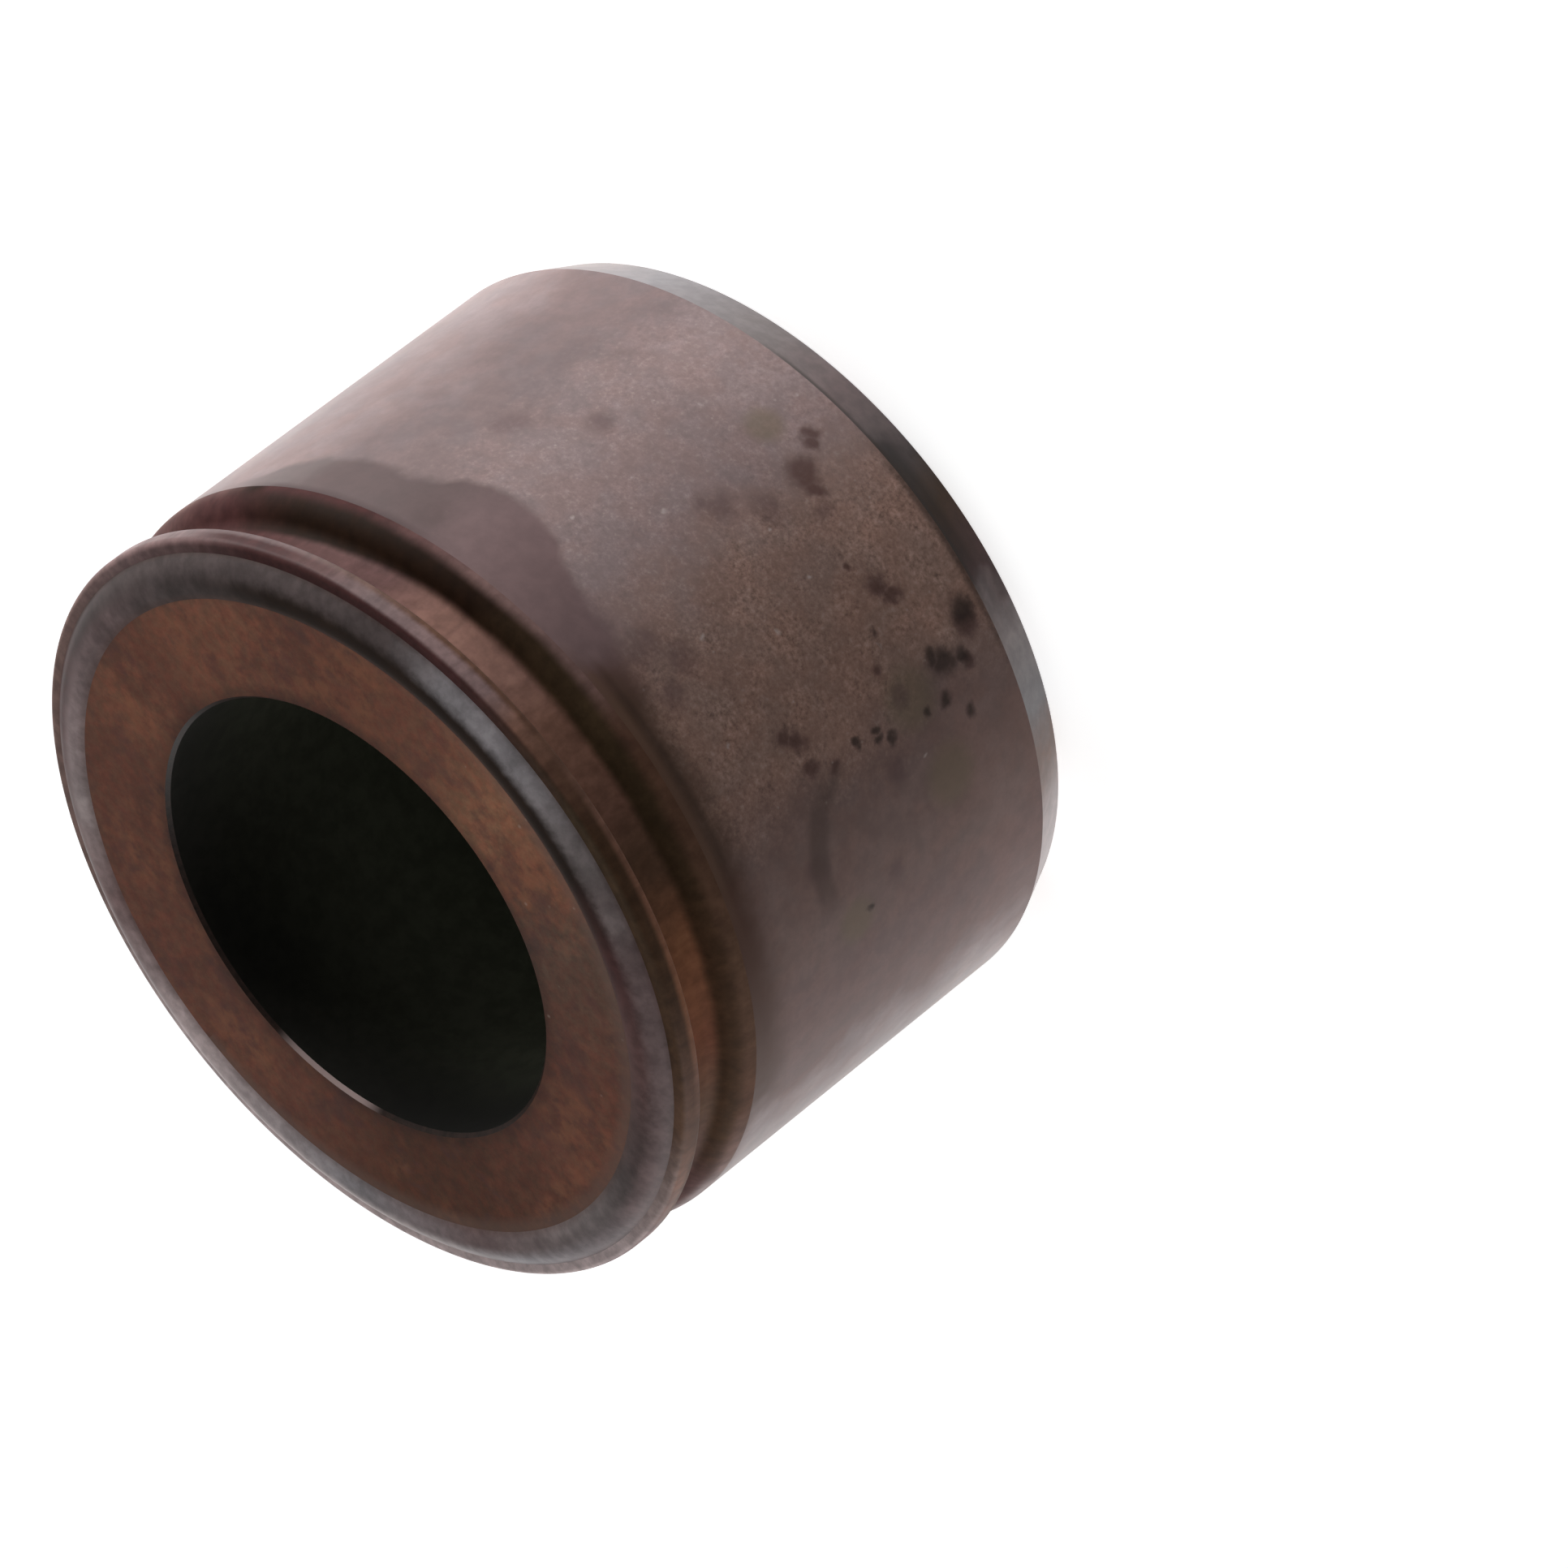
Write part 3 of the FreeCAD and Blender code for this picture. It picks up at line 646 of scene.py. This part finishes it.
def groove_finish():
    g = Turned("piston_groove")
    mottle = g.noise(g.place, scale=1.0, detail=4.0, roughness=0.6)
    broad = g.noise(g.place, scale=0.2, detail=3.0, roughness=0.55)
    bent = g.bent(broad, reach=14.0)
    streaks = g.noise(g.squeezed, scale=1.0, detail=3.0, roughness=0.6)
    swell = g.noise(g.place, scale=0.3, detail=1.0)
    wave = g.math("MULTIPLY_ADD", g.math("SUBTRACT", swell, 0.5), 0.25, g.depth)
    floor = g.around(bent, GROOVE_FLOOR)
    hollow = g.around(bent, GROOVE_HOLLOW)
    shoulder = g.around(bent, GROOVE_SHOULDER)
    early = g.math("MULTIPLY", g.between(g.angle, *EARLY_ZONE, soft=12.0), 0.5)
    into = g.band(g.math("SUBTRACT", wave, early), -5.62, -5.08, 1.0, 0.0)
    colour = g.mix(into, floor, hollow)
    late = g.math("MULTIPLY", g.between(g.angle, *LATE_ZONE, soft=20.0), 0.45)
    out = g.band(g.math("ADD", wave, late), -6.85, -5.95, 1.0, 0.0)
    colour = g.mix(out, colour, shoulder)
    colour = g.scaled(colour, g.band(mottle, 0.3, 0.7, 0.86, 1.14))
    colour = g.scaled(colour, g.band(streaks, 0.3, 0.7, 0.88, 1.12))
    rough = g.math("MULTIPLY_ADD", mottle, 0.2, 0.5)
    return g.shade(colour, rough, mottle, strength=0.25, distance=0.00005, specular=0.05)


# The lip's outer face, its back edge and the land in front of it, by angle in degrees
# The lip face's light ends are a painted sheen
LIP_FACE = [
    (-120.0, PALE_FILM), (-84.0, MAUVE), (-72.0, ROSE_EARTH), (-61.0, EARTH), (-50.0, EARTH),
    (-38.0, BROWN_GRIME), (-12.0, BROWN_GRIME), (-2.0, EARTH), (5.0, ROSE_EARTH), (12.0, MAUVE),
    (22.0, MAUVE), (32.0, DIM_FILM), (42.0, PLUM), (51.0, DEEP_PLUM), (60.0, DEEP_PLUM), (69.0, DIM_FILM),
    (82.0, PALE_FILM),
]
# The back edge is lighter with a painted highlight, over its rust and earth
LIP_EDGE = [
    (-120.0, FILM_WITH_SOFT_SHEEN), (-80.0, EARTH), (-60.0, EARTH), (-50.0, ROSE_EARTH), (-40.0, ORANGE_RUST),
    (-10.0, ROSE_EARTH), (3.0, EARTH), (24.0, EARTH), (50.0, DIM_FILM), (64.0, DIM_FILM),
    (82.0, FILM_WITH_SOFT_SHEEN),
]
# The land: painted shade, with some dirt, in its crease, and a painted glint from -180 to -92 degrees
LAND = [
    (-180.0, PAINTED_GLINT_STEEL), (-92.0, PAINTED_GLINT_STEEL), (-60.0, OLIVE_EARTH), (-45.0, BROWN_GRIME),
    (-8.0, GRIME_AND_SHADE), (15.0, DEEP_PLUM), (54.0, DEEP_PLUM), (82.0, MAUVE), (110.0, ROSE_FILM),
    (150.0, ROSE_FILM), (180.0, PAINTED_GLINT_STEEL),
]
# Where the land's painted shade comes further down over the lip's front edge
LOW_LAND_ZONE = (45.0, 130.0)


def lip_finish():
    g = Turned("piston_lip")
    mottle = g.noise(g.place, scale=1.4, detail=4.0, roughness=0.6)
    broad = g.noise(g.place, scale=0.25, detail=3.0, roughness=0.55)
    bent = g.bent(broad, reach=12.0)
    streaks = g.noise(g.squeezed, scale=1.1, detail=3.0, roughness=0.6)
    wave = g.math("MULTIPLY_ADD", g.math("SUBTRACT", mottle, 0.5), 0.3, g.depth)
    colour = g.mix(g.band(wave, -2.0, -1.5, 1.0, 0.0), g.around(bent, LIP_FACE), g.around(bent, LIP_EDGE))
    reach = g.math("MULTIPLY_ADD", g.between(g.angle, *LOW_LAND_ZONE, soft=15.0), -0.30, -0.90)
    front = g.band(g.math("SUBTRACT", g.depth, reach), -0.08, 0.16)
    colour = g.mix(front, colour, g.around(bent, LAND))
    colour = g.scaled(colour, g.band(mottle, 0.3, 0.7, 0.88, 1.12))
    colour = g.scaled(colour, g.band(streaks, 0.3, 0.7, 0.84, 1.16))
    rough = g.math("MULTIPLY_ADD", mottle, 0.2, 0.40)
    return g.shade(colour, rough, mottle, strength=0.15, distance=0.00004, specular=0.12)


# The bead's outer and inner half, by angle in degrees: blue-grey steel under painted reflections, light and
# dark
BEAD_OUTER = [
    (-180.0, PAINTED_GLINT_STEEL), (-160.0, PAINTED_GLINT_STEEL), (-134.0, FILM_WITH_BRIGHT_SHEEN), (-112.0, BLUE_STEEL),
    (-74.0, DIM_FILM), (-32.0, DIM_FILM), (-16.0, STEEL), (4.0, BLUE_STEEL), (16.0, BLUE_STEEL),
    (26.0, DARK_STEEL), (100.0, DARK_STEEL), (122.0, DEEP_PLUM), (142.0, PLUM), (166.0, FILM_WITH_SOFT_SHEEN),
    (180.0, PAINTED_GLINT_STEEL),
]
BEAD_INNER = [
    (-180.0, PAINTED_GLINT_STEEL), (-148.0, BLUE_STEEL), (-120.0, DIM_FILM), (-92.0, STEEL), (-74.0, DARK_STEEL),
    (-48.0, PLUM), (-29.0, DEEP_PLUM), (-16.0, PAINTED_SHADE_BLACK), (48.0, PAINTED_SHADE_BLACK), (76.0, DARK_STEEL), (94.0, DIM_FILM),
    (122.0, FILM_WITH_SOFT_SHEEN), (138.0, FILM_WITH_BRIGHT_SHEEN), (154.0, MAUVE), (180.0, PAINTED_GLINT_STEEL),
]


def bead_finish():
    g = Turned("piston_bead")
    mottle = g.noise(g.place, scale=1.3, detail=4.0, roughness=0.6)
    smooth = g.noise(g.place, scale=0.35, detail=3.0, roughness=0.5)
    bent = g.bent(smooth, reach=14.0)
    half = g.band(g.math("MULTIPLY_ADD", g.math("SUBTRACT", mottle, 0.5), 0.4, g.radius), 24.3, 25.4)
    colour = g.mix(half, g.around(bent, BEAD_INNER), g.around(bent, BEAD_OUTER))
    # Painted shade, with some dirt, in the creases at both feet of the bead
    inner_foot = g.band(g.radius, ANNULUS_R, 23.8, 0.35, 0.0)
    outer_foot = g.band(g.radius, 25.85, BEAD_FOOT_R, 0.0, 0.25)
    colour = g.mix(g.math("MAXIMUM", inner_foot, outer_foot), colour, BEAD_FOOT)
    colour = g.scaled(colour, g.band(mottle, 0.3, 0.7, 0.84, 1.16))
    colour = g.scaled(colour, g.band(smooth, 0.35, 0.65, 0.88, 1.12))
    rough = g.math("MULTIPLY_ADD", mottle, 0.18, 0.26)
    return g.shade(colour, rough, mottle, strength=0.15, distance=0.00004, specular=0.14)


# The rust on the annulus, by angle in degrees
FACE = [
    (-180.0, RUST), (-160.0, RUST), (-135.0, DARK_RUST), (-116.0, DARK_RUST), (-84.0, RUST), (-60.0, RUST),
    (-30.0, EARTH), (-14.0, WARM_RUST), (0.0, ORANGE_RUST), (12.0, WARM_RUST), (30.0, RUST), (46.0, RUST),
    (66.0, WARM_RUST), (80.0, WARM_RUST), (92.0, RUST), (106.0, WARM_RUST), (124.0, RUST), (180.0, RUST),
]
# Where pale dots show on the annulus
DOTTED_ZONE = (-70.0, 30.0)


def face_finish():
    g = Turned("piston_face")
    fine = g.noise(g.place, scale=4.0, detail=3.0, roughness=0.6)
    mottle = g.noise(g.place, scale=0.8, detail=5.0, roughness=0.62)
    broad = g.noise(g.place, scale=0.17, detail=3.0, roughness=0.55)
    grain = g.noise(g.place, scale=1.2, detail=6.0, roughness=0.75)
    bent = g.bent(mottle, reach=24.0)
    colour = g.scaled(g.around(bent, FACE), g.band(mottle, 0.3, 0.7, 0.86, 1.14))
    colour = g.scaled(colour, g.band(grain, 0.34, 0.66, 0.84, 1.16))
    blotch = g.band(g.noise(g.place, scale=1.1, detail=4.0, roughness=0.65), 0.38, 0.62)
    colour = g.mix(1.0, colour, g.mix(blotch, *FACE_TINTS), "MULTIPLY")
    stain = g.band(g.noise(g.place, scale=0.33, detail=5.0, roughness=0.65), 0.50, 0.64, 0.0, 0.42)
    colour = g.mix(stain, colour, FACE_STAIN)
    rust = g.math("MULTIPLY", g.band(broad, 0.50, 0.66), g.band(mottle, 0.35, 0.6))
    colour = g.mix(g.math("MULTIPLY", rust, 0.40), colour, FACE_ORANGE)
    pale = g.math("MULTIPLY", g.band(g.radius, 21.8, 23.1), g.band(g.angle, -10.0, 24.0, 0.5, 0.1))
    colour = g.mix(pale, colour, FACE_RIM)
    # Painted shade: the annulus darker towards the bore
    colour = g.scaled(colour, g.band(g.radius, 16.2, 17.4, 0.62, 1.0))
    colour = g.scaled(colour, g.band(g.radius, 17.0, 20.5, 0.90, 1.02))
    dots = g.specks(scale=1.0, share=0.35, size=0.22)
    dots = g.math("MULTIPLY", dots, g.between(g.angle, *DOTTED_ZONE, soft=20.0))
    colour = g.mix(g.math("MULTIPLY", dots, 0.42), colour, FACE_DOT)
    lines = g.noise(g.rings, scale=3.0, detail=2.0, roughness=0.5)
    rough = g.math("MULTIPLY_ADD", mottle, 0.2, 0.42)
    height = g.math("ADD", g.math("MULTIPLY", lines, 0.6), g.math("MULTIPLY", fine, 0.5))
    return g.shade(colour, rough, height, strength=0.2, distance=0.00004, specular=0.3)


# The painted highlight on the mouth's chamfer, an arc: the angle of its middle and half its length, in
# degrees
LIT_ARC_ANGLE = -155.0
LIT_ARC_HALF = 17.0
# Where the chamfer is rusty, and where painted shade darkens the bore's wall behind it
RUSTY_ZONE = (-20.0, 50.0)
SHADED_WALL_ZONE = (-150.0, -50.0)


def mouth_finish():
    g = Turned("piston_mouth")
    mottle = g.noise(g.place, scale=1.5, detail=4.0, roughness=0.6)
    colour = g.mix(g.band(mottle, 0.3, 0.7), MOUTH_BLACK, MOUTH_BROWN)
    colour = g.mix(g.between(g.angle, *RUSTY_ZONE, soft=18.0), colour, MOUTH_RUST)
    middle = math.radians(LIT_ARC_ANGLE)
    towards = (math.sin(middle), -math.cos(middle), 0.0)
    side = g.node("ShaderNodeVectorMath", operation="NORMALIZE")
    g.feed(side.inputs[0], g.vector("MULTIPLY", g.place, (1.0, 1.0, 0.0)))
    facing = g.vector("DOT_PRODUCT", side.outputs["Vector"], towards)
    half = math.radians(LIT_ARC_HALF)
    lit = g.band(facing, math.cos(half), math.cos(half * 0.4))
    colour = g.mix(lit, colour, MOUTH_LIT)
    rough = g.math("MULTIPLY_ADD", mottle, 0.15, 0.3)
    return g.shade(colour, rough, mottle, strength=0.15, distance=0.00003, specular=0.15)


def bore_finish():
    g = Turned("piston_bore")
    mottle = g.noise(g.place, scale=0.8, detail=4.0, roughness=0.6)
    # Painted shade: the wall near black at the mouth and lighter deeper in, so that it looks evenly dark as
    # the light falls off inside
    colour = g.mix(g.band(g.depth, -17.0, -0.5), BORE_DEEP, BORE_NEAR)
    shaded_wall = g.math("MULTIPLY", g.between(g.angle, *SHADED_WALL_ZONE, soft=20.0), g.band(g.depth, -10.0, -2.0))
    colour = g.scaled(colour, g.math("MULTIPLY_ADD", shaded_wall, -0.6, 1.0))
    colour = g.scaled(colour, g.band(mottle, 0.3, 0.7, 0.85, 1.15))
    rough = g.math("MULTIPLY_ADD", mottle, 0.2, 0.65)
    return g.shade(colour, rough, mottle, strength=0.15, distance=0.00005, specular=0.12)


FINISHES = {
    "body": body_finish,
    "taper": taper_finish,
    "groove": groove_finish,
    "lip": lip_finish,
    "bead": bead_finish,
    "face": face_finish,
    "mouth": mouth_finish,
    "bore": bore_finish,
}


def make_piston():
    """The piston in one mesh, with its finishes, in place of the plain solid."""
    names = list(FINISHES)
    mesh = turned_mesh("piston_look", outline(), names)
    for name in names:
        mesh.materials.append(FINISHES[name]())
    piece = bpy.data.objects.new("piston_look", mesh)
    bpy.context.scene.collection.objects.link(piece)
    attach(piece, "root")
    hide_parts("piston")
    return piece


# Floor and wall in one sweep, in metres
SWEEP_FLAT = 1.6
SWEEP_RADIUS = 0.8
SWEEP_HEIGHT = 3.0
SWEEP_SIDES = 96
SWEEP_STEPS = 16
SWEEP_COLOUR = (0.80, 0.80, 0.80, 1.0)
SWEEP_ROUGHNESS = 0.9
SWEEP_GLOW = 0.75
WHITE = (1.0, 1.0, 1.0, 1.0)


def make_sweep():
    """A plain pale floor that curves up into a wall all round."""
    rings = [(0.0, 0.0), (SWEEP_FLAT, 0.0)]
    rings += arc((SWEEP_FLAT, SWEEP_RADIUS), SWEEP_RADIUS, -90.0, 0.0, SWEEP_STEPS)[1:]
    rings.append((SWEEP_FLAT + SWEEP_RADIUS, SWEEP_HEIGHT))
    count = SWEEP_SIDES
    vertices = [(0.0, 0.0, 0.0)]
    for radius, height in rings[1:]:
        for i in range(count):
            angle = 2.0 * math.pi * i / count
            vertices.append((radius * math.cos(angle), radius * math.sin(angle), height))
    faces = []
    for i in range(count):
        faces.append((0, 1 + i, 1 + (i + 1) % count))
    for k in range(len(rings) - 2):
        low = 1 + k * count
        high = low + count
        for i in range(count):
            j = (i + 1) % count
            faces.append((low + i, high + i, high + j, low + j))
    mesh = bpy.data.meshes.new("sweep")
    mesh.from_pydata(vertices, [], faces)
    mesh.shade_smooth()
    g = Graph("pale_sweep")
    shader = g.node("ShaderNodeBsdfPrincipled")
    shader.inputs["Base Color"].default_value = SWEEP_COLOUR
    shader.inputs["Roughness"].default_value = SWEEP_ROUGHNESS
    shader.inputs["Specular IOR Level"].default_value = 0.0
    shader.inputs["Emission Color"].default_value = WHITE
    shader.inputs["Emission Strength"].default_value = SWEEP_GLOW
    g.tree.links.new(shader.outputs[0], g.output.inputs["Surface"])
    mesh.materials.append(g.material)
    sweep = bpy.data.objects.new("sweep", mesh)
    bpy.context.scene.collection.objects.link(sweep)
    sweep.visible_diffuse = False
    sweep.visible_glossy = False
    sweep.visible_shadow = False
    return sweep


# Soft light round the piece: direction, strength, and where the lobe starts and is full, as a cosine
LOBES = [
    ((0.98, -0.05, -0.02), 10.0, 0.85, 1.0),
    ((0.80, 0.15, -0.55), 0.6, 0.0, 0.95),
    ((-0.50, 0.60, -0.60), 0.6, 0.45, 0.95),
    ((-0.85, 0.35, 0.10), 3.0, 0.75, 1.0),
    ((0.0, 0.80, -0.60), 0.6, 0.6, 1.0),
    ((0.0, 0.2, 1.0), 0.35, 0.3, 1.0),
]
AMBIENT = 0.15


def make_world():
    world = bpy.data.worlds.new("soft_light")
    bpy.context.scene.world = world
    world.use_nodes = True
    tree = world.node_tree
    tree.nodes.clear()
    coordinates = tree.nodes.new("ShaderNodeTexCoord")
    total = None
    for direction, strength, start, full in LOBES:
        dot = tree.nodes.new("ShaderNodeVectorMath")
        dot.operation = "DOT_PRODUCT"
        dot.inputs[1].default_value = Vector(direction).normalized()
        tree.links.new(coordinates.outputs["Generated"], dot.inputs[0])
        lobe = tree.nodes.new("ShaderNodeMapRange")
        lobe.interpolation_type = "SMOOTHSTEP"
        lobe.inputs["From Min"].default_value = start
        lobe.inputs["From Max"].default_value = full
        lobe.inputs["To Max"].default_value = strength
        tree.links.new(dot.outputs["Value"], lobe.inputs["Value"])
        added = tree.nodes.new("ShaderNodeMath")
        added.operation = "ADD"
        tree.links.new(lobe.outputs["Result"], added.inputs[0])
        if total is None:
            added.inputs[1].default_value = AMBIENT
        else:
            tree.links.new(total, added.inputs[1])
        total = added.outputs[0]
    background = tree.nodes.new("ShaderNodeBackground")
    tree.links.new(total, background.inputs["Strength"])
    output = tree.nodes.new("ShaderNodeOutputWorld")
    tree.links.new(background.outputs[0], output.inputs["Surface"])


# The photograph's camera: place in metres, tilt and roll in degrees, lens and sensor in millimetres
CAMERA_PLACE = (-0.009975, -0.608405, 0.406459)
CAMERA_TILT = 56.6828
CAMERA_ROLL = -128.1177
CAMERA_LENS = 260.994
SENSOR = 36.0
CLIP_START = 0.01
CLIP_END = 20.0


def make_camera():
    data = bpy.data.cameras.new("camera")
    data.lens = CAMERA_LENS
    data.sensor_width = SENSOR
    data.clip_start = CLIP_START
    data.clip_end = CLIP_END
    camera = bpy.data.objects.new("camera", data)
    bpy.context.scene.collection.objects.link(camera)
    tilt = Matrix.Rotation(math.radians(CAMERA_TILT), 4, "X")
    roll = Matrix.Rotation(math.radians(CAMERA_ROLL), 4, "Z")
    camera.matrix_world = Matrix.Translation(CAMERA_PLACE) @ tilt @ roll
    bpy.context.scene.camera = camera


make_piston()
make_sweep()
make_world()
make_camera()
bpy.context.scene.view_settings.view_transform = "Standard"
bpy.context.view_layer.update()
